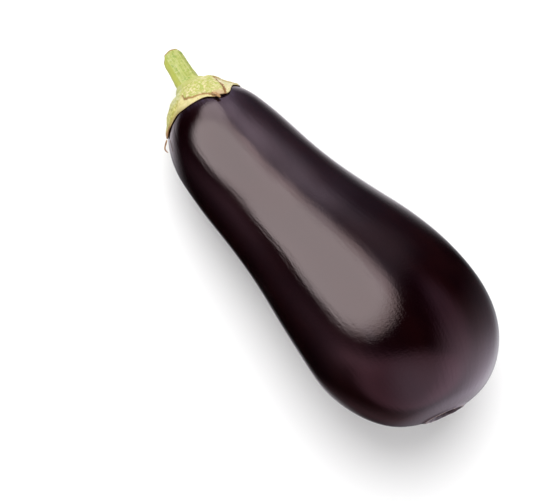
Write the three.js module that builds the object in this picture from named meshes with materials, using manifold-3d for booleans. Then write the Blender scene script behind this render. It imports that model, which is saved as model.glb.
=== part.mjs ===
// An eggplant (aubergine) as picked, lying on its side on a flat surface.
// Millimetres, +Z up. +X runs along the fruit from the stem to the blossom end.
// The fruit, its calyx and its stem all follow one gently bent middle line.
// A station is a distance along that line, from the top of the fruit (0) to the blossom end.

import * as THREE from 'three';
import { mergeVertices } from 'three/addons/utils/BufferGeometryUtils.js';
import Module from 'manifold-3d';

const wasm = await Module();
wasm.setup();

const degrees = THREE.MathUtils.degToRad;

// Fruit: the knots of a club-shaped outline, from the top down to the blossom end. Each knot has
// its station and its radius, and a handle before and after it as [along, outwards] from the knot.
const fruitKnots = [
  { name: 'top', station: 0, radius: 0, after: [0, 9.5] },
  { name: 'shoulder', station: 13.4, radius: 22.9, before: [-9, -6.3], after: [11, 7.7] },
  { name: 'waist', station: 66, radius: 33.6, before: [-12, -0.4], after: [32, 1.2] },
  { name: 'bulb', station: 162, radius: 48, before: [-36.5, 0], after: [25.5, 0] },
  { name: 'blossom end', station: 211.3, radius: 9.5, before: [0.5, 20], after: [0, -2.5] },
  { name: 'dimple floor', station: 209.8, radius: 5, before: [0, 1] },
];

// Middle line: it turns by bend between start and end, and is straight elsewhere.
const neckTurn = { start: 0, end: 59, bend: degrees(15.5) };
const bulbTurn = { start: 142, end: 186, bend: degrees(19) };

// Lying pose: the neck dips until neck and bulb both touch, each on a small flat spot.
const restTilt = degrees(8.7);
const flatDepth = 0.6;

// Calyx: a fleshy cap over the shoulder, its lobes measured along the skin from the top.
const clearance = 0.3;
const calyxCup = { reach: 25.4, rimThickness: 0.8 };
const calyxCrown = { thickness: 3.2, evenTo: 8, unevenFrom: 12, thickTo: 9, thinFrom: 24 };
const heavySide = { turn: degrees(-75), extra: 0.45 };
const calyxLobes = [
  { turn: degrees(-29), reach: 32.5, halfWidth: degrees(30) },
  { turn: degrees(-80), reach: 32, halfWidth: degrees(24) },
  { turn: degrees(-148), reach: 34, halfWidth: degrees(34) },
  { turn: degrees(146), reach: 33, halfWidth: degrees(34) },
  { turn: degrees(68), reach: 32.5, halfWidth: degrees(38) },
];

// Stem: a stout ribbed stalk, cut off slanted, with its upper side the longer one.
const stemLength = 16.4;
const stemTip = { radius: 5.1, chamfer: 0.7, slant: 0.65 };
const stemFoot = { radius: 6.2, flareRadius: 7.8, flareHeight: 3 };
const stemRibs = { count: 5, height: 0.35, firstTurn: degrees(30) };

// How finely each shape is divided.
const fruitSides = 56;
const fruitStepsPerCurve = 9;
const calyxSides = 80;
const calyxSteps = 9;
const stemSides = 30;
const walkSteps = 48;

// The share of a turn that is done at a station, 0 before it and 1 after it.
function turned({ start, end }, station) {
  return THREE.MathUtils.clamp((station - start) / (end - start), 0, 1);
}

function heading(station) {
  return -neckTurn.bend * (1 - turned(neckTurn, station)) - bulbTurn.bend * turned(bulbTurn, station);
}

// The point of the middle line at a station, found by walking there along the heading.
function middlePoint(station) {
  const step = station / walkSteps;
  const point = new THREE.Vector2();
  for (let i = 0; i < walkSteps; i++) {
    const direction = heading((i + 0.5) * step);
    point.x += Math.cos(direction) * step;
    point.y += Math.sin(direction) * step;
  }
  return point;
}

// A point beside the middle line: turn 0 is straight up, and a positive turn leans to the right
// of someone who looks along the line. The whole line is tilted, so that the neck dips.
function bentPoint(station, radius, turn) {
  const middle = middlePoint(station);
  const direction = heading(station);
  const sideways = radius * Math.sin(turn);
  const point = new THREE.Vector3(
    middle.x + sideways * Math.sin(direction),
    middle.y - sideways * Math.cos(direction),
    radius * Math.cos(turn),
  );
  return point.applyAxisAngle(new THREE.Vector3(0, 1, 0), -restTilt);
}

// The outline through the first knots of the fruit as a path of (radius, station).
function fruitOutline(knotCount = fruitKnots.length) {
  const outline = new THREE.Path();
  outline.moveTo(fruitKnots[0].radius, fruitKnots[0].station);
  for (let i = 1; i < knotCount; i++) {
    const from = fruitKnots[i - 1];
    const to = fruitKnots[i];
    outline.bezierCurveTo(
      from.radius + from.after[1], from.station + from.after[0],
      to.radius + to.before[1], to.station + to.before[0],
      to.radius, to.station,
    );
  }
  return outline;
}

// The height that the middle line is raised by, so that the lowest skin is flatDepth under z = 0.
const underside = fruitOutline().getPoints(4 * fruitStepsPerCurve);
const lowest = Math.min(...underside.map((point) => bentPoint(point.y, point.x, Math.PI).z));
const lift = -lowest - flatDepth;

function place(station, radius, turn) {
  const point = bentPoint(station, radius, turn);
  point.z += lift;
  return point;
}

// Moves every vertex of a lathe geometry. The move is given the vertex's radius, its height
// along the lathe's axis and its turn, and returns the point that it goes to.
function reshape(lathe, move) {
  lathe.deleteAttribute('normal');
  lathe.deleteAttribute('uv');
  const positions = lathe.attributes.position;
  for (let i = 0; i < positions.count; i++) {
    const x = positions.getX(i);
    const z = positions.getZ(i);
    const point = move(Math.hypot(x, z), positions.getY(i), Math.atan2(x, z));
    positions.setXYZ(i, point.x, point.y, point.z);
  }
  return mergeVertices(lathe, 1e-3);
}

function toSolid(geometry) {
  return new wasm.Manifold(new wasm.Mesh({
    numProp: 3,
    vertProperties: new Float32Array(geometry.attributes.position.array),
    triVerts: new Uint32Array(geometry.index.array),
  }));
}

function toGeometry(solid) {
  const mesh = solid.getMesh();
  const geometry = new THREE.BufferGeometry();
  geometry.setAttribute('position', new THREE.BufferAttribute(mesh.vertProperties, 3));
  geometry.setIndex(new THREE.BufferAttribute(mesh.triVerts, 1));
  return geometry;
}

// Fruit: the outline and the flat floor of its dimple, spun, bent and trimmed where it rests.
function fruitGeometry() {
  const points = fruitOutline().getPoints(fruitStepsPerCurve);
  points.push(new THREE.Vector2(0, fruitKnots.at(-1).station));
  const lathe = new THREE.LatheGeometry(points, fruitSides);
  const body = toSolid(reshape(lathe, (radius, station, turn) => place(station, radius, turn)));
  const ground = new THREE.BoxGeometry(400, 200, 20).translate(100, 0, -10);
  ground.deleteAttribute('normal');
  ground.deleteAttribute('uv');
  return toGeometry(body.subtract(toSolid(mergeVertices(ground))));
}

// A point over the fruit's skin: along is the distance on the skin from the top, and height is
// how far the point stands off the skin.
const topOfFruit = fruitOutline(3);
const topLength = topOfFruit.getLength();

function overSkin(along, height, turn) {
  const skin = topOfFruit.getPointAt(along / topLength);
  const tangent = topOfFruit.getTangentAt(along / topLength);
  return place(skin.y - height * tangent.x, Math.max(skin.x + height * tangent.y, 0), turn);
}

// How far the calyx reaches down the skin at a turn: the cup, or the lobe that covers it.
function calyxReach(turn) {
  const lobeReach = calyxLobes.map((lobe) => {
    const apart = Math.abs(Math.atan2(Math.sin(turn - lobe.turn), Math.cos(turn - lobe.turn)));
    const inLobe = Math.max(0, 1 - apart / lobe.halfWidth);
    return calyxCup.reach + (lobe.reach - calyxCup.reach) * inLobe ** 1.6;
  });
  return Math.max(...lobeReach);
}

// The crown is even where the stem stands on it, and thicker on its heavy side around that.
function calyxThickness(along, turn) {
  const beyondStem = THREE.MathUtils.smoothstep(along, calyxCrown.evenTo, calyxCrown.unevenFrom);
  const extra = heavySide.extra * Math.cos(turn - heavySide.turn) * beyondStem;
  const thinning = THREE.MathUtils.smoothstep(along, calyxCrown.thickTo, calyxCrown.thinFrom);
  return THREE.MathUtils.lerp(calyxCrown.thickness * (1 + extra), calyxCup.rimThickness, thinning);
}

// Calyx: a thin disc, its radius and its thickness both 1, laid over the shoulder of the fruit.
// The disc's underside keeps the clearance to the skin, and its edge follows the lobes.
function calyxGeometry() {
  const section = [];
  for (let i = 0; i <= calyxSteps; i++) section.push(new THREE.Vector2(i / calyxSteps, 1));
  for (let i = calyxSteps; i >= 0; i--) section.push(new THREE.Vector2(i / calyxSteps, 0));
  const disc = new THREE.LatheGeometry(section, calyxSides);
  return reshape(disc, (share, layer, turn) => {
    const along = share * calyxReach(turn);
    return overSkin(along, clearance + layer * calyxThickness(along, turn), turn);
  });
}

// Stem: ribbed, wider at its foot, with a chamfered and slanted cut end.
function stemGeometry() {
  const foot = -(clearance + calyxCrown.thickness + clearance);
  const tip = foot - stemLength;
  const section = [
    new THREE.Vector2(0, tip),
    new THREE.Vector2(stemTip.radius - stemTip.chamfer, tip),
    new THREE.Vector2(stemTip.radius, tip + stemTip.chamfer),
    new THREE.Vector2((stemTip.radius + stemFoot.radius) / 2, (tip + foot) / 2),
    new THREE.Vector2(stemFoot.radius, foot - stemFoot.flareHeight),
    new THREE.Vector2(stemFoot.flareRadius, foot),
    new THREE.Vector2(0, foot),
  ];
  const lathe = new THREE.LatheGeometry(section, stemSides);
  return reshape(lathe, (radius, station, turn) => {
    const toTip = (foot - station) / stemLength;
    const rib = stemRibs.height * Math.cos(stemRibs.count * (turn - stemRibs.firstTurn));
    const ribbed = radius * (1 + rib / stemFoot.radius);
    const slanted = station - stemTip.slant * toTip * ribbed * Math.cos(turn);
    return place(slanted, ribbed, turn);
  });
}

function piece(name, geometry, finish) {
  const mesh = new THREE.Mesh(geometry, new THREE.MeshStandardMaterial(finish));
  mesh.name = name;
  return mesh;
}

const eggplant = new THREE.Group();
eggplant.add(
  piece('fruit', fruitGeometry(), { color: 0x1c0a14, roughness: 0.18, metalness: 0 }),
  piece('calyx', calyxGeometry(), { color: 0xc9c586, roughness: 0.7, metalness: 0 }),
  piece('stem', stemGeometry(), { color: 0xb4bd5f, roughness: 0.65, metalness: 0 }),
);

// The origin is the middle of the footprint, on the surface that the eggplant rests on.
const middle = new THREE.Box3().setFromObject(eggplant).getCenter(new THREE.Vector3());
eggplant.position.set(-middle.x, -middle.y, 0);

export default eggplant;
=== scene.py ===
"""An eggplant (aubergine) as picked, lying on a pale studio floor and seen from above.

Shapes are worked out in millimetres and go to metres as each piece is finished. Everything follows one
gently bent middle line. A station is a distance along that line from the top of the fruit, a turn is an
angle round it from straight up, and along is a distance on the skin from the top of the fruit.
"""

from math import atan2, cos, exp, hypot, pi, radians, sin, tau

import bmesh
import bpy
from mathutils import Euler, Matrix, Vector, noise
from mathutils.geometry import interpolate_bezier
from mathutils.kdtree import KDTree

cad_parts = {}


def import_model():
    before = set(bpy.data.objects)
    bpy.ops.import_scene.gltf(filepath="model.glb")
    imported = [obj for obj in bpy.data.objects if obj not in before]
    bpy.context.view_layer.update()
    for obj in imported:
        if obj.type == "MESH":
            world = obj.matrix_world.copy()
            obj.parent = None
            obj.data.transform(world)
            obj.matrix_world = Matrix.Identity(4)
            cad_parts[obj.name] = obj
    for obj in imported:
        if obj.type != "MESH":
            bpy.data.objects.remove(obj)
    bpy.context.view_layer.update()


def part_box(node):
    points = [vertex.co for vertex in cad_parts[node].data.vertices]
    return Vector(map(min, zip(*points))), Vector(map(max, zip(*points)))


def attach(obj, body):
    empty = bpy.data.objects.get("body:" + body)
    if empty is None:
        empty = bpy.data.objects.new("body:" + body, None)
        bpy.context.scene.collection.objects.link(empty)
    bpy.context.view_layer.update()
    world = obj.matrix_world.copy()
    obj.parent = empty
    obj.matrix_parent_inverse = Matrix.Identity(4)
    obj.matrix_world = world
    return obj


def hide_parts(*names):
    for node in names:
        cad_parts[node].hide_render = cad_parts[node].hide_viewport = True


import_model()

MM = 0.001

# Fruit: the knots of its outline as (station, radius), each with a handle before and after it.
FRUIT_KNOTS = [
    {"at": (0, 0), "after": (0, 9.5)},
    {"at": (13.4, 22.9), "before": (-9, -6.3), "after": (11, 7.7)},
    {"at": (66, 33.6), "before": (-12, -0.4), "after": (32, 1.2)},
    {"at": (162, 48), "before": (-36.5, 0), "after": (25.5, 0)},
    {"at": (211.3, 9.5), "before": (0.5, 20), "after": (0, -2.5)},
    {"at": (209.8, 5), "before": (0, 1)},
]
BLOSSOM_RIM_KNOT = 4
TOP_KNOT_COUNT = 3
DIMPLE_FLOOR = FRUIT_KNOTS[-1]["at"][0]

# The middle line bends at the neck and at the bulb, and each bend eases in and out over TURN_EASE. It is
# tilted until the neck rests on the floor too, and where the skin rests it gives by FLAT_DEPTH.
NECK_TURN = {"start": 0, "end": 59, "bend": radians(15.5)}
BULB_TURN = {"start": 142, "end": 186, "bend": radians(19)}
TURN_EASE = 26
REST_TILT = radians(8.7)
FLAT_DEPTH = 0.6
LINE_START = -40
LINE_STEP = 0.5
LINE_COUNT = 520

# The fruit's slow hollows and bulges. Each has its height at its station, and fades over its length.
FLANKS = [
    {"turn": radians(-90), "station": 41, "length": 30, "height": -1.25},
    {"turn": radians(-90), "station": 90, "length": 22, "height": -0.45},
    {"turn": radians(-90), "station": 132, "length": 12, "height": -0.35},
    {"turn": radians(-90), "station": 187, "length": 15, "height": 0.8},
    {"turn": radians(90), "station": 29, "length": 12, "height": 0.75},
]
# Its smaller relief: waves all over, flutes on the neck, dents below the calyx, and a lip round the
# dimple with puckers inside it. round is how many lumps there are in one radius of a turn.
WAVES = {"height": 0.45, "round": 1.3, "length": 38, "seed": Vector((4.2, 1.1, 7.3))}
FLUTES = {"height": 0.1, "count": 5, "phase": 0.6, "station": 38, "length": 22}
DENTS = {"height": 0.13, "round": 4, "length": 9}
LIP = {"height": 0.55, "radius": 10.4, "width": 1.2}
PUCKERS = {"height": 0.35, "round": 3, "seed": 2, "radius": 8.5, "width": 3}
END_TILT = 0.035

# How finely the fruit is drawn. Its rings are closer together over its last END_LENGTH.
CURVE_STEPS = 60
CENTRE_STEPS = 72
SKIN_GAP = 1.0
SKIN_PASSES = 200
TOP_GAP = 0.25
FRUIT_SIDES = 128
RING_GAP = 2.0
END_LENGTH = 18
END_RING_GAP = 0.8
DIMPLE_STEPS = 8

# Calyx: its rim and the margin of its raised lobes, each as (turn in degrees, along) round the stem.
CALYX_RIM = [
    (-171, 26.2), (-158, 29.5), (-148, 34), (-140, 32), (-127, 27.5), (-113, 26), (-98, 26), (-88, 26.3),
    (-80, 27.2), (-74, 27), (-68, 26.4), (-62, 26.2), (-54, 27.3), (-45, 29.5), (-40, 31.3),
    (-35, 32.2), (-31, 32.3), (-27, 31.8), (-24, 31), (-21, 31.4), (-18.5, 31), (-16, 29.8), (-13, 28.3),
    (-9, 27.2), (-1, 26.4), (9, 25.9), (17, 25.7), (26, 25.6), (34, 25.4), (40, 25.9), (48, 27.1),
    (54, 28), (61, 29.3), (66, 30.6), (71, 31.6), (77, 30.2), (91, 26.8), (108, 25.8), (123, 26.5),
    (136, 29.5), (146, 33), (155, 30), (171, 26.3),
]
LOBE_MARGIN = [
    (-176, 14), (-163, 21), (-153, 27), (-148, 32), (-142, 27), (-128, 20), (-115, 13), (-103, 19),
    (-91, 22), (-80, 26), (-74, 19), (-68, 13.5), (-63.5, 11.8), (-60, 13.8), (-54.5, 16.4), (-48.5, 20),
    (-42.5, 24), (-36.5, 28), (-33, 30.8), (-29, 33.2), (-21, 33.2), (-18.5, 31), (-17, 28), (-14, 25.9),
    (-11, 24.3), (-4, 23.2), (3, 22.4), (11, 21), (16, 20.2), (19.5, 18.8), (21.5, 16.4), (25, 16.2),
    (30, 17.5), (36, 19.4), (50, 25), (60, 30), (68, 33), (80, 29), (95, 21), (108, 13), (120, 19),
    (136, 26), (146, 32), (156, 24), (170, 15),
]
CLEARANCE = 0.12
# The crown is even under the stem. Beyond it, it is thicker on its heavy side and thinner on its light
# side. sooner and later are in millimetres along the skin, and each extra is a share of what it changes.
CROWN = {"thickness": 3.2, "share": 0.72, "even_to": 8, "uneven_from": 12, "thick_to": 9, "thin_from": 21}
HEAVY_SIDE = {"turn": radians(-72), "extra": 0.6, "thins_sooner": 0.7}
LIGHT_SIDE = {"turn": radians(90), "extra": -0.2, "uneven_sooner": 2, "thins_later": 4,
              "rim_extra": -0.15, "lobe_extra": -0.3}
SIDE_POWER = 1.5
RIM = {"thickness": 0.5, "tip_share": 0.5, "tips_from": 27, "tips_to": 32}
LOBE_STEP = 0.7
FILLET = 1.6
# On two sides the rim has let go of the skin, and stands off it.
LOOSE = {"height": 0.55, "phase": 1.2}
CALYX_RIPPLES = {"height": 0.26, "round": 9, "length": 12}
CALYX_DENTS = [{"height": 0.34, "size": 4.5, "seed": 3}, {"height": 0.204, "size": 1.9, "seed": 8}]
CALYX_SIDES = 200
CALYX_STEPS = 46
UNDERSIDE_EVERY = 4
MARGIN_POINTS = 3600

# Stem: a stout stalk with five blunt ribs, cut off a little slanted, with a nick in the cut's edge. The
# pith has sunk in a ring, and the cut is uneven. The stalk is wrinkled, and knobbly over longer distances.
STEM_LENGTH = 16.8
STEM_TIP = {"radius": 5.65, "chamfer": 0.8, "slant": 0.65, "lean": 1.1}
STEM_NICK = {"depth": 1.3, "turn": radians(54), "width": 0.7}
STEM_FACE_RADII = (0, 0.8, 1.6, 2.4, 3.2, 4.0)
PITH = {"depth": 0.5, "radius": 1.6, "width": 1.2}
STEM_FOOT = {"radius": 6.5, "flare_height": 3}
# The flare and the flat base under it, as (distance beyond the foot, radius).
STEM_BASE = [(-1.7, 6.45), (-0.4, 6.8), (1, 7.6), (1.3, 7), (1.3, 4), (1.3, 0)]
STEM_RIBS = {"count": 5, "height": 0.36, "first_turn": radians(30), "sharpness": 3}
STEM_WRINKLES = {"height": 0.14, "round": 2.5, "length": 1.6}
STEM_KNOBS = {"height": 0.3, "round": 1.6, "length": 9, "seed": 5}
STEM_CUT = {"height": 0.12, "lumps_per_mm": 0.9, "seed": 8.1}
STEM_RING_GAP = 0.5
STEM_SIDES = 120

# The corky disc in the dimple, as (height over the dimple's floor, radius).
SCAR_PROFILE = [
    (-0.7, 0), (-0.6, 3.3), (-0.3, 3.5), (0.1, 3.3), (0.5, 2.9), (0.75, 2.3), (0.85, 1.4), (0.75, 0.5),
    (0, 0),
]
SCAR_EDGE = {"share": 0.16, "round": 2.2, "seed": 6}
SCAR_LUMPS = {"height": 0.3, "lumps_per_mm": 1.1, "seed": 1.1}
SCAR_SIDES = 48

# The dried sepal tips, as (along, height over the skin, turn in degrees, radius) from base to end. One
# is a brown thread that has curled off the skin, the other a nub that curls down over the calyx's rim.
THREAD = [
    (32, 0.7, 70, 0.5), (34, 1.7, 72.5, 0.46), (35.4, 2.4, 74, 0.42), (36.6, 2.4, 73, 0.4),
    (37.5, 1.9, 72, 0.34), (38.2, 1.4, 72, 0.18),
]
NUB = [
    (27.5, 1.2, -17.5, 0.4), (29.2, 1.9, -19.5, 0.85), (31, 1.9, -20.6, 1.0), (32.4, 1.5, -22, 0.8),
    (33.2, 0.8, -22.6, 0.4),
]

# Camera: nearly overhead, turned so that the stem points to the picture's upper left.
PICTURE_TURN = radians(46.065)
CAMERA = {"lens": 120, "sensor": 36, "elevation": radians(88), "distance": 922.7,
          "target": (-5.0, -17.4, 44)}


def clamp(value, low=0.0, high=1.0):
    return min(max(value, low), high)


def smoothstep(value, start, end):
    share = clamp((value - start) / (end - start))
    return share * share * (3 - 2 * share)


def mix(a, b, share):
    return a + (b - a) * share


def bell(value, middle, width):
    """1 at the middle, and next to nothing two widths away."""
    return exp(-((value - middle) / width) ** 2)


def facing(turn, towards, power):
    """1 where a turn faces the same way as another, down to 0 a quarter of a turn away."""
    return max(cos(turn - towards), 0) ** power


def round_noise(turn, radius, along):
    """A smooth random value on a pipe of that radius. A lump is about 1 wide, and there is no seam."""
    return noise.noise(Vector((radius * cos(turn), radius * sin(turn), along)))


# The middle line and what is placed beside it.

def ramp_area(x):
    """The area up to x under a line that rises from 0 at 0 to 1 at 1, and is level elsewhere."""
    if x < 0:
        return 0
    return x * x / 2 if x < 1 else x - 0.5


def turned(turn, station):
    """The share of a turn that is done at a station. It starts and stops gradually."""
    length = turn["end"] - turn["start"]
    x = (station - turn["start"]) / length
    ease = TURN_EASE / length
    return (ramp_area(x + ease) - ramp_area(x - ease)) / (2 * ease)


def heading(station):
    """The direction of the middle line at a station, seen from above. 0 is along X."""
    neck_left = NECK_TURN["bend"] * (1 - turned(NECK_TURN, station))
    return -neck_left - BULB_TURN["bend"] * turned(BULB_TURN, station)


def walk_middle_line():
    """The points of the middle line, LINE_STEP apart from the station LINE_START on."""
    points = [Vector((0, 0))]
    for i in range(LINE_COUNT):
        direction = heading(LINE_START + (i + 0.5) * LINE_STEP)
        points.append(points[-1] + LINE_STEP * Vector((cos(direction), sin(direction))))
    return points


middle_line = walk_middle_line()


def bent(station, up, side):
    """A point beside the middle line, up from it and to its right, in the lying pose."""
    steps = (station - LINE_START) / LINE_STEP
    before = int(steps)
    middle = middle_line[before].lerp(middle_line[before + 1], steps - before)
    direction = heading(station)
    point = Vector((middle.x + side * sin(direction), middle.y - side * cos(direction), up))
    return Matrix.Rotation(-REST_TILT, 3, "Y") @ point


def outline_curve(knots, steps):
    """The curve through knots as (station, radius) points."""
    points = []
    for a, b in zip(knots, knots[1:]):
        start, end = Vector(a["at"]), Vector(b["at"])
        leaving, arriving = start + Vector(a["after"]), end + Vector(b["before"])
        curve = interpolate_bezier(start, leaving, arriving, end, steps)
        points += curve[1:] if points else curve
    return points


def evenly(points, gap):
    """Points along the same line, one gap apart or a little less."""
    lengths = [0.0]
    for a, b in zip(points, points[1:]):
        lengths.append(lengths[-1] + (b - a).length)
    count = int(lengths[-1] / gap) + 1
    result, at = [], 0
    for i in range(count + 1):
        wanted = lengths[-1] * i / count
        while at < len(points) - 2 and lengths[at + 1] < wanted:
            at += 1
        share = (wanted - lengths[at]) / max(lengths[at + 1] - lengths[at], 1e-9)
        result.append(points[at].lerp(points[at + 1], share))
    return result


def blurred(points, passes):
    """Moves each point but the ends half way to the middle of its neighbours, again and again."""
    for _ in range(passes):
        middles = [b.lerp((a + c) / 2, 0.5) for a, b, c in zip(points, points[1:], points[2:])]
        points = [points[0], *middles, points[-1]]
    return points


def eased(points, passes):
    """Lets the line bend evenly where its curves meet, and keeps it in its place."""
    once = blurred(points, passes)
    lost = blurred([a - b for a, b in zip(points, once)], passes)
    return [a + b for a, b in zip(once, lost)]


skin_curve = outline_curve(FRUIT_KNOTS[:BLOSSOM_RIM_KNOT + 1], CURVE_STEPS)
skin_line = eased(evenly(skin_curve, SKIN_GAP), SKIN_PASSES)
top_line = evenly(outline_curve(FRUIT_KNOTS[:TOP_KNOT_COUNT], CURVE_STEPS), TOP_GAP)


def fruit_centre():
    """The middle of the fruit's box before it is moved to where the frame has it."""
    ring = [tau * i / CENTRE_STEPS for i in range(CENTRE_STEPS)]
    points = [bent(p.x, p.y * cos(turn), p.y * sin(turn)) for p in skin_line for turn in ring]
    return [(min(p[i] for p in points) + max(p[i] for p in points)) / 2 for i in (0, 1)]


def shift_to_frame():
    """The move that brings the fruit to where the frame has it, its lowest skin FLAT_DEPTH under 0."""
    low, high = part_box("fruit")
    sideways = [(low[i] + high[i]) / 2 / MM - own for i, own in enumerate(fruit_centre())]
    lowest = min(bent(p.x, -p.y, 0).z for p in skin_line)
    return Vector((*sideways, -lowest - FLAT_DEPTH))


shift = shift_to_frame()


def place(station, up, side):
    """A point beside the middle line, in the frame's place but still in millimetres."""
    return bent(station, up, side) + shift


def flank(station, radius, turn):
    """How far the skin stands out of its round outline at a place. It doesn't at the ends' middles."""
    total = 0
    for row in FLANKS:
        total += row["height"] * facing(turn, row["turn"], 2) * bell(station, row["station"], row["length"])
    return total * smoothstep(radius, 0, 12)


def over_skin(along, height, turn):
    """A point that stands off the skin by height, at a distance along it from the top of the fruit."""
    steps = along / TOP_GAP
    before = min(int(steps), len(top_line) - 2)
    skin = top_line[before].lerp(top_line[before + 1], steps - before)
    tangent = (top_line[min(before + 2, len(top_line) - 1)] - top_line[max(before - 1, 0)]).normalized()
    station, radius = skin.x - height * tangent.y, max(skin.y + height * tangent.x, 0)
    radius += flank(skin.x, skin.y, turn)
    return place(station, radius * cos(turn), radius * sin(turn))


def round_table(table):
    """A smooth function of turn through (degrees, value) pairs that go once round."""
    def value(turn):
        at = (turn * 360 / tau - table[0][0]) % 360 + table[0][0]
        i = max(k for k, row in enumerate(table) if row[0] <= at)
        rows = [table[(i + k) % len(table)] for k in (-1, 0, 1, 2)]
        end = rows[2][0] if rows[2][0] > rows[1][0] else rows[2][0] + 360
        t = (at - rows[1][0]) / (end - rows[1][0])
        a, b, c, d = (row[1] for row in rows)
        # A Catmull-Rom curve, held between the values on either side of it.
        curve = b + 0.5 * t * (c - a + t * (2 * a - 5 * b + 4 * c - d + t * (3 * (b - c) + d - a)))
        return clamp(curve, min(b, c), max(b, c))
    return value


calyx_reach = round_table(CALYX_RIM)
lobe_reach = round_table(LOBE_MARGIN)


# Meshes.

def spun(outline, sides):
    """Turns an outline of (height, radius) points round the Z axis. Its ends may lie on the axis."""
    shape = bmesh.new()
    points = [shape.verts.new((radius, 0, height)) for height, radius in outline]
    for a, b in zip(points, points[1:]):
        shape.edges.new((a, b))
    bmesh.ops.spin(shape, geom=shape.verts[:] + shape.edges[:], cent=(0, 0, 0), axis=(0, 0, 1),
                   angle=tau, steps=sides, use_merge=True)
    bmesh.ops.remove_doubles(shape, verts=shape.verts[:], dist=1e-5)
    return shape


def face_outwards(shape):
    """Turns the faces of a closed shape outwards, also where it is a thin bent shell."""
    bmesh.ops.recalc_face_normals(shape, faces=shape.faces[:])
    if shape.calc_volume(signed=True) < 0:
        bmesh.ops.reverse_faces(shape, faces=shape.faces[:])


def reshape(shape, move, attributes=()):
    """Moves each point of a spun shape to where move puts it.

    move is given the point's radius, height and turn. It returns the new place, and a value for each of
    the attributes.
    """
    layers = [shape.verts.layers.float_vector.new(name) for name in attributes]
    for vert in shape.verts:
        x, y, height = vert.co
        vert.co, *values = move(hypot(x, y), height, atan2(y, x))
        for layer, value in zip(layers, values):
            vert[layer] = value
    face_outwards(shape)


def finished(name, shape, material, replaces=None):
    """Makes a bmesh in millimetres an object in metres that belongs to the eggplant."""
    bmesh.ops.scale(shape, vec=(MM, MM, MM), verts=shape.verts[:])
    mesh = bpy.data.meshes.new(name)
    shape.to_mesh(mesh)
    shape.free()
    mesh.shade_smooth()
    mesh.materials.append(material)
    piece = bpy.data.objects.new(name, mesh)
    bpy.context.scene.collection.objects.link(piece)
    smooth = piece.modifiers.new("smooth", "SUBSURF")
    smooth.levels = smooth.render_levels = 1
    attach(piece, "root")
    if replaces:
        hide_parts(replaces)


def fibre_place(turn, station):
    """Coordinates that run with the fibres: round the middle line, and along it in decimetres.

    A pattern of scale n repeats about every radius / n round a piece, and every 100 mm / n along it.
    """
    return Vector((cos(turn), sin(turn), station / 100))


def end_tilt(station, radius, turn):
    """How far a point of the blossom end is moved back, so that the end faces a little upwards."""
    return END_TILT * radius * cos(turn) * smoothstep(station, 190, 208) * smoothstep(radius, 26, 11)


def waves(station, radius, turn):
    """The height of the skin's waves. They fade out under the calyx and round the dimple."""
    around = Vector((cos(turn), sin(turn), station / WAVES["length"]))
    height = WAVES["height"] * noise.noise(WAVES["round"] * around + WAVES["seed"])
    return height * smoothstep(station, 20, 60) * smoothstep(radius, 8, 30)


def flutes(station, radius, turn):
    """The height of the faint flutes that run down the neck from the calyx's lobes."""
    height = FLUTES["height"] * cos(FLUTES["count"] * turn + FLUTES["phase"])
    return height * bell(station, FLUTES["station"], FLUTES["length"]) * smoothstep(radius, 8, 30)


def dents(station, radius, turn):
    """The height of the small dents in the skin round the calyx."""
    height = DENTS["height"] * round_noise(turn, DENTS["round"], station / DENTS["length"])
    return height * smoothstep(station, 44, 16) * smoothstep(radius, 8, 20)


def dimple_rim(station, radius, turn):
    """How far the lip and the puckers stand out of the blossom end."""
    lip = LIP["height"] * bell(radius, LIP["radius"], LIP["width"])
    puckers = PUCKERS["height"] * bell(radius, PUCKERS["radius"], PUCKERS["width"])
    puckers *= round_noise(turn, PUCKERS["round"], PUCKERS["seed"])
    return (puckers + lip) * smoothstep(station, 195, 205)


def fruit_shape():
    rim = outline_curve(FRUIT_KNOTS[BLOSSOM_RIM_KNOT:], DIMPLE_STEPS)[1:]
    dimple = evenly([rim[-1], Vector((DIMPLE_FLOOR, 0))], END_RING_GAP)[1:]
    end_points = round(END_LENGTH / SKIN_GAP)
    outline = evenly(skin_line[:-end_points], RING_GAP) + evenly(skin_line[-end_points:], END_RING_GAP)
    shape = spun(outline + rim + dimple, FRUIT_SIDES)

    def move(radius, station, turn):
        wave = waves(station, radius, turn)
        radius += flank(station, radius, turn)
        radius += wave + flutes(station, radius, turn)
        radius += dents(station, radius, turn)
        station += dimple_rim(station, radius, turn)
        station -= end_tilt(station, radius, turn)
        point = place(station, radius * cos(turn), radius * sin(turn))
        point.z = max(point.z, 0)
        # By the calyx's rim, along is about 1.12 times the station plus 12 mm.
        beyond_rim = station * 1.12 + 12 - calyx_reach(turn)
        return point, fibre_place(turn, station), Vector((beyond_rim, station, radius))

    reshape(shape, move, ["fibre", "zone"])
    return shape


def calyx_thickness(along, turn):
    """The calyx is thick and fleshy round the stem, and thin at its rim and thinner at its tips."""
    heavy = facing(turn, HEAVY_SIDE["turn"], SIDE_POWER)
    light = facing(turn, LIGHT_SIDE["turn"], SIDE_POWER)
    inner = along + LIGHT_SIDE["uneven_sooner"] * light
    outer = along - LIGHT_SIDE["thins_later"] * light + HEAVY_SIDE["thins_sooner"] * heavy
    share = CROWN["share"] + HEAVY_SIDE["extra"] * heavy + LIGHT_SIDE["extra"] * light
    crown = CROWN["thickness"] * mix(1, share, smoothstep(inner, CROWN["even_to"], CROWN["uneven_from"]))
    tip_share = mix(1, RIM["tip_share"], smoothstep(along, RIM["tips_from"], RIM["tips_to"]))
    rim = RIM["thickness"] * tip_share * (1 + LIGHT_SIDE["rim_extra"] * light)
    return mix(crown, rim, smoothstep(outer, CROWN["thick_to"], CROWN["thin_from"]))


def flat_map(along, turn, height=0.0):
    """Where a point lies when the skin round the stem is laid flat."""
    return Vector((along * cos(turn), along * sin(turn), height))


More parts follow.
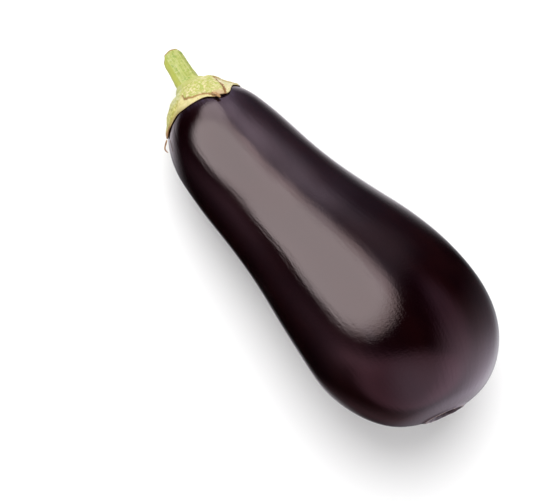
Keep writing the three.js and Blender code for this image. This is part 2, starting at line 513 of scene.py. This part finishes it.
def margin_tree():
    """The lobes' margin as a cloud of points on the skin laid flat, to measure distances to it."""
    tree = KDTree(MARGIN_POINTS)
    for i in range(MARGIN_POINTS):
        turn = tau * i / MARGIN_POINTS
        tree.insert(flat_map(lobe_reach(turn), turn), i)
    tree.balance()
    return tree


def calyx_relief(along, turn):
    """The height of the ripples and dents that make the calyx uneven."""
    relief = round_noise(turn, CALYX_RIPPLES["round"], along / CALYX_RIPPLES["length"])
    relief *= CALYX_RIPPLES["height"]
    for row in CALYX_DENTS:
        at = flat_map(along / row["size"], turn, row["seed"])
        relief += row["height"] * noise.noise(at)
    return relief


def calyx_marks(along, turn, inside):
    """How far the calyx's upper left ridge is painted pale as a highlight, a lobe has dried and a lobe's
    edge has, each from 0 to 1.
    """
    degrees = turn * 360 / tau
    # pale marks the painted highlight on the upper left ridge by the stem.
    pale = smoothstep(degrees, 22, 30) * smoothstep(degrees, 66, 54) * smoothstep(along, 20, 16)
    dried = smoothstep(degrees, -28, -52) * smoothstep(degrees, -120, -90) * smoothstep(inside, 0.6, -0.6)
    edge = smoothstep(degrees, -16, -22) * smoothstep(degrees, -46, -34) * smoothstep(inside, -1, 2)
    return Vector((pale, dried, edge))


def calyx_shape():
    """A disc, its radius and its thickness both 1, laid over the shoulder of the fruit."""
    shares = [i / CALYX_STEPS for i in range(CALYX_STEPS + 1)]
    top = [(1.0, share) for share in shares]
    edge = [(0.5, 1.004)]
    under = [(0.0, share) for share in reversed(shares[::UNDERSIDE_EVERY] + [1.0])]
    shape = spun(top + edge + under, CALYX_SIDES)
    margin = margin_tree()

    def move(share, layer, turn):
        reach = calyx_reach(turn)
        along = share * reach
        to_rim = reach - along
        to_margin = margin.find(flat_map(along, turn))[2]
        inside = to_margin if along < lobe_reach(turn) else -to_margin
        lobe = LOBE_STEP * (smoothstep(inside, -0.25, 0.45) - 0.35) * smoothstep(along, 9, 13)
        lobe *= 1 + LIGHT_SIDE["lobe_extra"] * facing(turn, LIGHT_SIDE["turn"], SIDE_POWER)
        relief = calyx_relief(along, turn) * smoothstep(along, 6, 12) * smoothstep(to_rim, -1, 3)
        fillet = FILLET * smoothstep(along, 9.5, 6)
        loose = (0.5 + 0.5 * cos(2 * turn + LOOSE["phase"])) ** 2
        lift = LOOSE["height"] * smoothstep(along, 24, 31) * loose
        height = CLEARANCE + lift + layer * (calyx_thickness(along, turn) + lobe + relief + fillet)
        point = over_skin(along, height, turn)
        facts = Vector((inside, to_rim, along))
        return point, fibre_place(turn, along), facts, calyx_marks(along, turn, inside)

    reshape(shape, move, ["fibre", "zone", "marks"])
    return shape


def stem_outline(foot, tip):
    """The stem's outline, from the middle of its cut face to the middle of its base."""
    radius, chamfer = STEM_TIP["radius"], STEM_TIP["chamfer"]
    face = [(tip + PITH["depth"] * bell(r, PITH["radius"], PITH["width"]), r) for r in STEM_FACE_RADII]
    edge = [(tip, radius - chamfer), (tip + 0.25 * chamfer, radius - 0.2 * chamfer)]
    side = evenly([
        Vector((tip + chamfer, radius)),
        Vector(((tip + foot) / 2, (radius + STEM_FOOT["radius"]) / 2)),
        Vector((foot - STEM_FOOT["flare_height"], STEM_FOOT["radius"])),
    ], STEM_RING_GAP)
    base = [(foot + beyond, base_radius) for beyond, base_radius in STEM_BASE]
    return face + edge + side + base


def stem_shape():
    foot = -(CLEARANCE + CROWN["thickness"] + CLEARANCE)
    shape = spun(stem_outline(foot, foot - STEM_LENGTH), STEM_SIDES)

    def move(radius, station, turn):
        to_tip = (foot - station) / STEM_LENGTH
        towards_rib = cos(STEM_RIBS["count"] * (turn - STEM_RIBS["first_turn"]))
        rib = STEM_RIBS["height"] * (1.6 * exp(-STEM_RIBS["sharpness"] * (1 - towards_rib)) - 0.6)
        wrinkle = round_noise(turn, STEM_WRINKLES["round"], station / STEM_WRINKLES["length"])
        knob_place = station / STEM_KNOBS["length"] + STEM_KNOBS["seed"]
        knob = round_noise(turn, STEM_KNOBS["round"], knob_place)
        relief = rib + STEM_WRINKLES["height"] * wrinkle + STEM_KNOBS["height"] * knob
        ribbed = radius * (1 + relief / STEM_FOOT["radius"])
        ragged = round_noise(turn, STEM_CUT["lumps_per_mm"] * radius, STEM_CUT["seed"])
        longer = STEM_TIP["slant"] * ribbed * cos(turn)
        longer -= STEM_NICK["depth"] * bell(turn, STEM_NICK["turn"], STEM_NICK["width"])
        cut = STEM_CUT["height"] * ragged * smoothstep(to_tip, 0.9, 1)
        slanted = station - longer * clamp(to_tip) + cut
        side = ribbed * sin(turn) + STEM_TIP["lean"] * clamp(to_tip)
        point = place(slanted, ribbed * cos(turn), side)
        return point, fibre_place(turn, station), Vector((to_tip, radius, 0))

    reshape(shape, move, ["fibre", "zone"])
    return shape


def scar_shape():
    """The corky disc in the dimple, where the flower's style dropped off."""
    shape = spun(SCAR_PROFILE, SCAR_SIDES)

    def move(radius, height, turn):
        radius *= 1 + SCAR_EDGE["share"] * round_noise(turn, SCAR_EDGE["round"], SCAR_EDGE["seed"])
        lumps = round_noise(turn, SCAR_LUMPS["lumps_per_mm"] * radius, SCAR_LUMPS["seed"])
        height += SCAR_LUMPS["height"] * lumps
        height -= end_tilt(DIMPLE_FLOOR, radius, turn)
        point = place(DIMPLE_FLOOR + height, radius * cos(turn), radius * sin(turn))
        return point, fibre_place(turn, radius)

    reshape(shape, move, ["fibre"])
    return shape


def dried_tip(rows, sides):
    """A closed tube over the skin through (along, height, turn in degrees, radius) rows."""
    points = [over_skin(along, height, radians(turn)) for along, height, turn, _ in rows]
    last = len(points) - 1
    shape = bmesh.new()
    rings = []
    for i, point in enumerate(points):
        tangent = points[min(i + 1, last)] - points[max(i - 1, 0)]
        turned_along = tangent.to_track_quat("Z", "Y").to_matrix().to_4x4()
        circle = bmesh.ops.create_circle(
            shape, cap_ends=i in (0, last), segments=sides, radius=rows[i][3],
            matrix=Matrix.Translation(point) @ turned_along)
        rings.append(set(circle["verts"]))
    for a, b in zip(rings, rings[1:]):
        both = [edge for edge in shape.edges if set(edge.verts) <= a or set(edge.verts) <= b]
        bmesh.ops.bridge_loops(shape, edges=both)
    face_outwards(shape)
    return shape


# Materials. Each kind of node here has its type, its fixed settings, the inputs that add sets in that
# order, and the output that add returns.
KINDS = {
    "material output": ("ShaderNodeOutputMaterial", {}, ["Surface"], None),
    "world output": ("ShaderNodeOutputWorld", {}, ["Surface"], None),
    "shader": ("ShaderNodeBsdfPrincipled", {}, [], "BSDF"),
    "background": ("ShaderNodeBackground", {}, ["Color"], "Background"),
    "attribute": ("ShaderNodeAttribute", {}, [], "Vector"),
    "object place": ("ShaderNodeTexCoord", {}, [], "Object"),
    "direction": ("ShaderNodeTexCoord", {}, [], "Generated"),
    "camera ray": ("ShaderNodeLightPath", {}, [], "Is Camera Ray"),
    "split": ("ShaderNodeSeparateXYZ", {}, [0], slice(3)),
    "stretch": ("ShaderNodeMapping", {}, ["Vector", "Scale", "Location"], "Vector"),
    "noise": ("ShaderNodeTexNoise", {}, ["Vector", "Scale", "Detail", "Roughness"], "Fac"),
    "step": ("ShaderNodeMapRange", {"interpolation_type": "SMOOTHSTEP"},
             ["Value", "From Min", "From Max", "To Min", "To Max"], 0),
    "absolute": ("ShaderNodeMath", {"operation": "ABSOLUTE"}, [0], 0),
    "add": ("ShaderNodeMath", {"operation": "ADD"}, [0, 1], 0),
    "subtract": ("ShaderNodeMath", {"operation": "SUBTRACT"}, [0, 1], 0),
    "multiply": ("ShaderNodeMath", {"operation": "MULTIPLY"}, [0, 1], 0),
    "multiply add": ("ShaderNodeMath", {"operation": "MULTIPLY_ADD"}, [0, 1, 2], 0),
    "mix colours": ("ShaderNodeMix", {"data_type": "RGBA"}, ["Factor", 6, 7], 2),
    "bump": ("ShaderNodeBump", {}, ["Strength", "Distance", "Height"], 0),
    "rotate": ("ShaderNodeVectorRotate", {"rotation_type": "EULER_XYZ"}, ["Vector", "Rotation"], 0),
    "multiply vectors": ("ShaderNodeVectorMath", {"operation": "MULTIPLY"}, [0, 1], 0),
    "add vectors": ("ShaderNodeVectorMath", {"operation": "ADD"}, [0, 1], 0),
    "larger vector": ("ShaderNodeVectorMath", {"operation": "MAXIMUM"}, [0, 1], 0),
    "scale vector": ("ShaderNodeVectorMath", {"operation": "SCALE"}, [0, "Scale"], 0),
    "normalise": ("ShaderNodeVectorMath", {"operation": "NORMALIZE"}, [0], 0),
}


def linear(hex_colour):
    """An sRGB colour such as "#1c0a14" as the linear RGBA that shaders take."""
    values = [int(hex_colour[i:i + 2], 16) / 255 for i in (1, 3, 5)]
    return [v / 12.92 if v <= 0.04045 else ((v + 0.055) / 1.055) ** 2.4 for v in values] + [1]


def connect(tree, socket, value):
    """Sets a socket to a number, a vector or a hex colour, or links it to another node's output."""
    if isinstance(value, bpy.types.NodeSocket):
        tree.links.new(value, socket)
    else:
        socket.default_value = linear(value) if isinstance(value, str) else value


def add(tree, kind, *inputs, **settings):
    """Adds a node of a kind with its settings and inputs, and returns its output."""
    node_type, fixed, names, output = KINDS[kind]
    node = tree.nodes.new(node_type)
    for name, value in {**fixed, **settings}.items():
        setattr(node, name, value)
    for name, value in zip(names, inputs):
        connect(tree, node.inputs[name], value)
    return None if output is None else node.outputs[output]


def layered(tree, colour, layers):
    """Lays colours over a colour in turn, each by its share."""
    for share, over in layers:
        colour = add(tree, "mix colours", share, colour, over)
    return colour


def new_material(name):
    """An empty material and its node tree."""
    material = bpy.data.materials.new(name)
    material.use_nodes = True
    material.node_tree.nodes.clear()
    return material, material.node_tree


def cover(tree, values):
    """Gives a material its shader, with a number, a hex colour or a socket for each named input."""
    surface = add(tree, "shader")
    for name, value in values.items():
        connect(tree, surface.node.inputs[name], value)
    add(tree, "material output", surface)


def waxed_skin():
    """Aubergine skin: nearly black purple under thin clear wax, so it mirrors soft lights without metal."""
    material, tree = new_material("waxed_aubergine_skin")
    fibre = add(tree, "attribute", attribute_name="fibre")
    leftwards = add(tree, "split", fibre)[1]
    beyond_rim, station, radius = add(tree, "split", add(tree, "attribute", attribute_name="zone"))

    # The purple varies in clouds 15 to 30 mm wide. Streaks 1 mm wide and 10 mm long are paler by the
    # calyx, where the skin grew in its shade.
    clouds = add(tree, "noise", add(tree, "stretch", fibre, (1, 1, 1.6)), 2.2, 3, 0.55)
    streak = add(tree, "noise", add(tree, "stretch", fibre, (1, 1, 0.3)), 34, 3, 0.6)
    near_rim = add(tree, "step", beyond_rim, 4, 0.5)
    shaded = add(tree, "multiply", near_rim, add(tree, "step", streak, 0.45, 0.75))

    # The dimple is dull and brown. A thin ragged tan ring is painted on the lip round it as a painted
    # highlight, the light that the lip catches.
    at_end = add(tree, "step", station, 200, 204)
    ragged_radius = add(tree, "multiply add", add(tree, "noise", fibre, 4, 3, 0.6), 1.8, radius)
    in_dimple = add(tree, "multiply", add(tree, "step", ragged_radius, 10.9, 10.2), at_end)
    within = add(tree, "step", ragged_radius, 11.7, 11.4)
    # The ring on the lip is a painted highlight, not a change in the skin.
    tear_and_painted_highlight = add(tree, "multiply", within, add(tree, "step", ragged_radius, 10.6, 10.9))
    tear_and_painted_highlight = add(tree, "multiply", tear_and_painted_highlight, add(tree, "step", streak, 0.42, 0.56, 0.15, 0.9))
    tear_and_painted_highlight = add(tree, "multiply", tear_and_painted_highlight, at_end)
    purple = add(tree, "mix colours", add(tree, "step", clouds, 0.35, 0.7), "#0a0103", "#120304")
    # The tan is the painted highlight on the dimple's lip.
    colour = layered(tree, purple, [(shaded, "#2b2333"), (in_dimple, "#1d0f12"), (tear_and_painted_highlight, "#a08068")])

    # The wax is thick and clear on the neck's right flank, and worn dull on the bulb's. Its roughness
    # varies in patches some 10 mm wide.
    flank_from = add(tree, "step", leftwards, -0.12, -0.34)
    right_flank = add(tree, "multiply", flank_from, add(tree, "step", leftwards, -0.98, -0.8))
    neck_to = add(tree, "step", station, 90, 60, 0, 0.45)
    clear = add(tree, "multiply", add(tree, "step", station, 24, 50), neck_to)
    bulb_to = add(tree, "step", station, 166, 150, 0, 0.35)
    worn = add(tree, "multiply", add(tree, "step", station, 78, 110), bulb_to)
    gloss = add(tree, "multiply add", right_flank, add(tree, "subtract", clear, worn), 0.5)
    gloss = add(tree, "multiply", gloss, add(tree, "multiply add", in_dimple, -0.8, 1.0))
    wax = add(tree, "noise", add(tree, "stretch", fibre, (1, 1, 1.2), (3, 1, 0)), 5, 4, 0.6)

    # Fibres are some 0.1 mm wide on a real skin, and its grain is finer still. Here the fibres are drawn
    # about 1 mm wide and the grain 0.4 mm, so that they show.
    fibres = add(tree, "noise", add(tree, "stretch", fibre, (1, 1, 0.33)), 24, 2, 0.5)
    grain = add(tree, "noise", add(tree, "object place"), 1200, 2, 0.6)
    relief = add(tree, "multiply add", grain, 0.8, fibres)
    cover(tree, {
        "Base Color": colour,
        "IOR": 1.47,
        "Specular Tint": "#ffe9ea",
        "Specular IOR Level": gloss,
        "Roughness": add(tree, "step", wax, 0.3, 0.75, 0.07, 0.12),
        "Normal": add(tree, "bump", 0.13, 0.0006, relief),
    })
    return material


def calyx_flesh():
    """Fleshy sepals: soft green to cream, with brown corky edges. They scatter light and hardly shine."""
    material, tree = new_material("dried_fleshy_calyx")
    fibre = add(tree, "attribute", attribute_name="fibre")
    leftwards = add(tree, "split", fibre)[1]
    inside, to_rim, along = add(tree, "split", add(tree, "attribute", attribute_name="zone"))
    pale, dried, edge = add(tree, "split", add(tree, "attribute", attribute_name="marks"))

    # Mottles 1.6 mm apart and specks 0.9 mm apart, and veins that are 2 mm apart at the rim.
    object_place = add(tree, "object place")
    mottle = add(tree, "noise", object_place, 620, 5, 0.7)
    speck = add(tree, "noise", object_place, 1100, 3, 0.6)
    vein = add(tree, "noise", add(tree, "stretch", fibre, (1, 1, 2)), 13, 4, 0.65)

    cream = add(tree, "mix colours", add(tree, "step", mottle, 0.42, 0.64), "#a0a24c", "#cfc299")
    # The calyx's left side is painted darker and greener, and the band along its left rim darker brown:
    # partly its own colour and partly painted shade.
    left_colour = add(tree, "mix colours", add(tree, "step", mottle, 0.4, 0.6), "#868428", "#b4b050")
    dried_colour = add(tree, "mix colours", add(tree, "step", mottle, 0.4, 0.62), "#b2b27c", "#cdbfa4")
    at_left = add(tree, "step", leftwards, 0.1, 0.6)
    left_rim = add(tree, "multiply", add(tree, "step", to_rim, 3.5, 0.5), at_left)
    far_left = add(tree, "step", leftwards, 0.6, 0.85, 0, 0.8)
    left_tip = add(tree, "multiply", add(tree, "step", along, 26.5, 30), far_left)
    # A pale, mottled patch is painted on the upper left ridge as a painted highlight.
    painted_ridge_highlight = add(tree, "multiply", pale, add(tree, "step", mottle, 0.35, 0.6, 0.2, 0.65))
    dry_lobe_edge = add(tree, "multiply", edge, add(tree, "step", to_rim, 6, 1))
    between_mottles = add(tree, "step", mottle, 0.6, 0.4, 0, 0.6)
    speckled = add(tree, "multiply", add(tree, "step", speck, 0.54, 0.7), between_mottles)

    # The seam: a brown corky line along the lobes' margin, torn wider to the right. It fades to the
    # left and round the right side.
    from_margin = add(tree, "absolute", add(tree, "add", inside, 0.1))
    ragged = add(tree, "multiply add", mottle, 1.3, from_margin)
    tear_and_painted_highlight = add(tree, "step", speck, 0.42, 0.58, 0.1, 0.75)
    tear_and_painted_highlight = add(tree, "multiply", add(tree, "step", leftwards, -0.3, -0.5), tear_and_painted_highlight)
    from_seam = add(tree, "subtract", ragged, tear_and_painted_highlight)
    beyond_stem = add(tree, "step", along, 10.5, 12.5)
    seam = add(tree, "multiply", add(tree, "step", from_seam, 1.4, 0.85), beyond_stem)
    seam = add(tree, "multiply", seam, add(tree, "step", leftwards, 0.34, 0.42, 1, 0.2))
    seam = add(tree, "multiply", seam, add(tree, "step", leftwards, -0.9, -0.96, 1, 0.4))
    seam_colour = add(tree, "mix colours", add(tree, "step", leftwards, -0.45, -0.2), "#7a4c22", "#8d6730")

    from_ragged_rim = add(tree, "multiply add", speck, 1.2, to_rim)
    colour = layered(tree, cream, [
        (add(tree, "step", vein, 0.5, 0.64, 0, 0.8), "#93a040"),
        (add(tree, "step", inside, 0.3, -0.5, 0, 0.75), "#cbbd88"),
        # Painted shade on the left side and its rim band, over the calyx's own colour.
        (add(tree, "step", leftwards, 0.35, 0.85, 0, 0.85), left_colour),
        (add(tree, "multiply", left_rim, 0.75), "#83723a"),
        (left_tip, "#9a6a3c"),
        (painted_ridge_highlight, "#b2b48c"),
        (add(tree, "multiply", dried, 0.9), dried_colour),
        (dry_lobe_edge, "#b39a76"),
        (add(tree, "step", along, 10, 8.5, 0, 0.8), "#a3a65c"),
        (speckled, "#7c7a33"),
        (add(tree, "multiply", seam, 0.9), seam_colour),
        (add(tree, "step", from_ragged_rim, 1.05, 0.35, 0, 0.75), "#6b4a26"),
    ])
    relief = add(tree, "multiply add", speck, 0.35, mottle)
    relief = add(tree, "multiply add", seam, -0.5, relief)
    cover(tree, {
        "Base Color": colour,
        "Roughness": 0.62,
        "IOR": 1.4,
        "Subsurface Weight": 0.08,
        "Subsurface Radius": (0.003, 0.002, 0.001),
        "Subsurface Scale": 0.5,
        "Normal": add(tree, "bump", 0.6, 0.0005, relief),
    })
    return material


def stalk_bark():
    """A green stalk: fibrous with fine cross wrinkles and small green spots, brown and dry at the cut."""
    material, tree = new_material("green_fibrous_stalk")
    fibre = add(tree, "attribute", attribute_name="fibre")
    leftwards = add(tree, "split", fibre)[1]
    to_tip, radius = add(tree, "split", add(tree, "attribute", attribute_name="zone"))[:2]

    # Fibres 1 mm apart, cross wrinkles 1.3 mm apart and spots 1.5 mm apart.
    lengthways = add(tree, "noise", add(tree, "stretch", fibre, (1, 1, 3)), 6, 3, 0.6)
    crossways = add(tree, "noise", add(tree, "stretch", fibre, (1, 1, 26)), 3, 3, 0.6)
    spots = add(tree, "noise", add(tree, "object place"), 680, 3, 0.65)

    to_ragged_tip = add(tree, "multiply add", spots, 0.04, to_tip)
    on_cut = add(tree, "step", to_tip, 0.9, 0.95)
    green = add(tree, "mix colours", add(tree, "step", lengthways, 0.35, 0.65), "#919b42", "#a6aa62")
    colour = layered(tree, green, [
        (add(tree, "step", crossways, 0.5, 0.66, 0, 0.7), "#adae72"),
        (add(tree, "step", spots, 0.53, 0.65, 0, 0.8), "#768c30"),
        # The left face, which the lamps leave in shade, is painted lighter and yellower: partly its own
        # colour and partly painted light that lifts that shade.
        (add(tree, "step", leftwards, 0.4, 0.62, 0, 0.8), "#bfc652"),
        (add(tree, "step", to_tip, 0.08, -0.02, 0, 0.7), "#a3a65c"),
        (add(tree, "step", to_ragged_tip, 0.94, 0.995), "#835a32"),
        (add(tree, "multiply", add(tree, "step", radius, 3.8, 3.2), on_cut), "#b9ab78"),
    ])
    relief = add(tree, "multiply add", crossways, 0.6, lengthways)
    cover(tree, {
        "Base Color": colour,
        "Roughness": 0.58,
        "IOR": 1.4,
        "Subsurface Weight": 0.06,
        "Subsurface Radius": (0.002, 0.002, 0.001),
        "Subsurface Scale": 0.5,
        "Normal": add(tree, "bump", 0.5, 0.0004, relief),
    })
    return material


def cork(name, light, dark):
    """Dried plant tissue: matt and crumbly, with pale and dark grains 0.9 mm apart."""
    material, tree = new_material(name)
    grains = add(tree, "noise", add(tree, "object place"), 1100, 4, 0.65)
    cover(tree, {
        "Base Color": add(tree, "mix colours", add(tree, "step", grains, 0.35, 0.65), dark, light),
        "Roughness": 0.85,
        "IOR": 1.4,
        "Normal": add(tree, "bump", 0.7, 0.0003, grains),
    })
    return material


finished("fruit_skin", fruit_shape(), waxed_skin(), "fruit")
finished("calyx_leaves", calyx_shape(), calyx_flesh(), "calyx")
finished("stem_stalk", stem_shape(), stalk_bark(), "stem")
finished("blossom_scar", scar_shape(), cork("blossom_scar_cork", "#a5835a", "#5d4028"))
finished("dried_sepal_tip", dried_tip(THREAD, 8), cork("dried_sepal_thread", "#a9825a", "#6f4a2c"))
finished("dried_sepal_nub", dried_tip(NUB, 10), cork("dried_sepal_nub", "#b89468", "#86603a"))


# Studio: a floor that the skin doesn't mirror, soft cards all round, lamps and the camera.

FLOOR_SIZE = 20


def floor():
    """A sheet of white paper: matt and even, so that it only takes the shadow."""
    shape = bmesh.new()
    bmesh.ops.create_grid(shape, x_segments=1, y_segments=1, size=FLOOR_SIZE)
    mesh = bpy.data.meshes.new("floor")
    shape.to_mesh(mesh)
    shape.free()
    material, tree = new_material("white_paper_sweep")
    cover(tree, {"Base Color": "#f6f6f6", "Roughness": 0.9})
    mesh.materials.append(material)
    ground = bpy.data.objects.new("floor", mesh)
    ground.visible_glossy = False
    bpy.context.scene.collection.objects.link(ground)


# Each card is an oval patch of light at infinity, seen in reflections only. azimuth is clockwise from the
# picture's top, polar is down from overhead, and width and height are the tangents of its half angles.
# soft is how gradually it ends, and strength is its brightness. A card that joins doesn't add to those
# before it, but merges with them: the first three are one softbox.
CARDS = [
    {"azimuth": 296.5, "polar": 43, "turn": -33.5, "width": 0.725, "height": 0.475, "soft": 0.08,
     "strength": 6.3, "colour": "#ffffff"},
    {"azimuth": 304, "polar": 39.5, "turn": -12.5, "width": 0.765, "height": 0.565, "soft": 0.08,
     "strength": 4.3, "colour": "#fff4f3", "joins": True},
    {"azimuth": 315, "polar": 47, "turn": -53, "width": 0.34, "height": 0.97, "soft": 0.08,
     "strength": 4.8, "colour": "#fffbff", "joins": True},
    {"azimuth": 12.5, "polar": 55.5, "turn": -26, "width": 0.12, "height": 0.54, "soft": 0.34,
     "strength": 1.45, "colour": "#f3ecff"},
    {"azimuth": 3, "polar": 71.5, "turn": -25, "width": 0.14, "height": 0.3, "soft": 0.3,
     "strength": 2.45, "colour": "#f1eaff"},
    {"azimuth": -8.5, "polar": 98, "turn": 25, "width": 0.26, "height": 0.295, "soft": 0.58,
     "strength": 2.65, "colour": "#eedcff"},
    {"azimuth": 142.5, "polar": 86, "turn": -57, "width": 1.52, "height": 0.66, "soft": 0.3,
     "strength": 0.9, "colour": "#e8e9ff"},
    {"azimuth": 171, "polar": 66.5, "turn": 12.5, "width": 1.2, "height": 0.78, "soft": 0.1,
     "strength": 0.65, "colour": "#ffbcd7"},
    {"azimuth": 99, "polar": 63.5, "turn": -75, "width": 0.325, "height": 1.68, "soft": 0.25,
     "strength": 0.5, "colour": "#ffcaed"},
    {"azimuth": 114.5, "polar": 104, "turn": -18.5, "width": 0.435, "height": 0.845, "soft": 0.5,
     "strength": 1.86, "colour": "#ffedfe"},
    {"azimuth": 22, "polar": 170.5, "turn": -78.5, "width": 0.515, "height": 0.11, "soft": 0.355,
     "strength": 0.9, "colour": "#fef8ff"},
    {"azimuth": 231.5, "polar": 68, "turn": 57.5, "width": 0.3, "height": 0.145, "soft": 0.62,
     "strength": 1.22, "colour": "#ffcae2"},
    {"azimuth": 313, "polar": 142.5, "turn": -75.5, "width": 0.355, "height": 0.625, "soft": 0.25,
     "strength": 2.8, "colour": "#fdf6ff"},
    {"azimuth": 170, "polar": 118, "turn": -40, "width": 0.365, "height": 0.85, "soft": 0.25,
     "strength": 0.18, "colour": "#ffc6d2"},
    {"azimuth": 105, "polar": 150, "turn": 14, "width": 0.21, "height": 0.29, "soft": 0.35,
     "strength": 0.86, "colour": "#f6f9ff"},
]
# Stretched to a round card that spans 45 degrees each way, a card has its edge at this cosine.
CARD_EDGE = 0.7071


def card_frame(card):
    """The rotation that brings a card's middle to +Z, with its width along X."""
    azimuth, polar, turn = (radians(card[name]) for name in ("azimuth", "polar", "turn"))
    middle = Vector((sin(polar) * sin(azimuth), sin(polar) * cos(azimuth), cos(polar)))
    across = Vector((cos(azimuth), -sin(azimuth), 0))
    upwards = middle.cross(across)
    width = cos(turn) * across + sin(turn) * upwards
    height = -sin(turn) * across + cos(turn) * upwards
    picture = Matrix.Rotation(-PICTURE_TURN, 3, "Z")
    return Matrix((width, height, middle)) @ picture


def world():
    """White for the camera, and the cards on a nearly black room for reflections."""
    scene_world = bpy.data.worlds.new("studio")
    scene_world.cycles_visibility.diffuse = False
    scene_world.use_nodes = True
    tree = scene_world.node_tree
    tree.nodes.clear()
    direction = add(tree, "direction")
    light = linear("#0a0a0a")[:3]
    for card in CARDS:
        # The direction is turned until the card's middle is at +Z, and the card is stretched round.
        turned_in = add(tree, "rotate", direction, card_frame(card).to_euler())
        sized = add(tree, "multiply vectors", turned_in, (1 / card["width"], 1 / card["height"], 1))
        inwards = add(tree, "split", add(tree, "normalise", sized))[2]
        start, end = CARD_EDGE - card["soft"], CARD_EDGE + card["soft"]
        brightness = add(tree, "step", inwards, start, end, 0, card["strength"])
        glow = add(tree, "scale vector", linear(card["colour"])[:3], brightness)
        light = add(tree, "larger vector" if card.get("joins") else "add vectors", light, glow)
    colour = add(tree, "mix colours", add(tree, "camera ray"), light, "#ffffff")
    add(tree, "world output", add(tree, "background", colour))
    bpy.context.scene.world = scene_world


# Diffuse light: each lamp is a soft patch of sky, its azimuth and polar measured as a card's are.
LAMPS = [
    {"name": "key", "azimuth": 356, "polar": 37, "spread": radians(50), "strength": 2.8},
    {"name": "fill", "azimuth": 0, "polar": 0, "spread": radians(165), "strength": 2.3},
]


def lamps():
    for row in LAMPS:
        lamp = bpy.data.lights.new(row["name"], "SUN")
        lamp.energy = row["strength"]
        lamp.angle = row["spread"]
        holder = bpy.data.objects.new(row["name"], lamp)
        holder.rotation_euler = Euler((-radians(row["polar"]), 0, PICTURE_TURN - radians(row["azimuth"])))
        holder.visible_glossy = False
        bpy.context.scene.collection.objects.link(holder)


def camera():
    lens = bpy.data.cameras.new("camera")
    lens.lens = CAMERA["lens"]
    lens.sensor_width = CAMERA["sensor"]
    viewer = bpy.data.objects.new("camera", lens)
    elevation = CAMERA["elevation"]
    back = Vector((sin(PICTURE_TURN) * cos(elevation), -cos(PICTURE_TURN) * cos(elevation), sin(elevation)))
    viewer.location = (Vector(CAMERA["target"]) + CAMERA["distance"] * back) * MM
    viewer.rotation_euler = Euler((pi / 2 - elevation, 0, PICTURE_TURN))
    bpy.context.scene.collection.objects.link(viewer)
    bpy.context.scene.camera = viewer


floor()
world()
lamps()
camera()
bpy.context.scene.view_settings.view_transform = "Standard"
